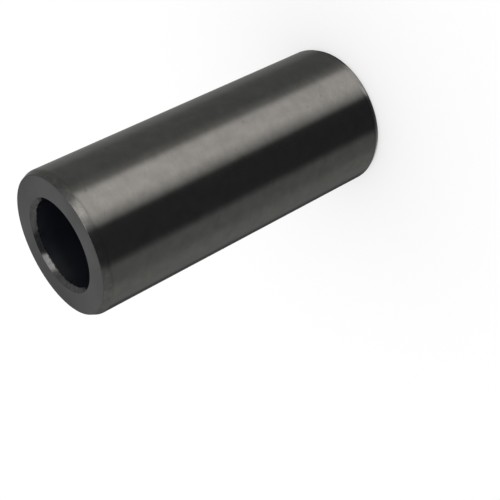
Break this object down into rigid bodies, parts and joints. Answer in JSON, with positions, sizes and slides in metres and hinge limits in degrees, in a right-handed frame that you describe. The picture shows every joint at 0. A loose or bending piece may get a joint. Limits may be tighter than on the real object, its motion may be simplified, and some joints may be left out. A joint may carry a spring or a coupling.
{
  "type": "gudgeon pin",
  "caption": "Hollow ground steel cylinder with bevelled ends and a straight through bore, which joins a piston to its connecting rod's small end.",
  "frame": {"origin": "centre of the lower end face", "axes": "+Z along the pin's axis, up from the lower end face to the upper one; X and Y are equal, because the pin is round"},
  "size_m": [0.022, 0.022, 0.052],
  "materials": {
    "gudgeon_pin": "case-hardened steel, barrel finely ground round, end faces ground flat, bore left dark from heat treatment"
  },
  "bodies": {
    "root": {"gudgeon_pin": "gudgeon_pin"}
  },
  "joints": []
}
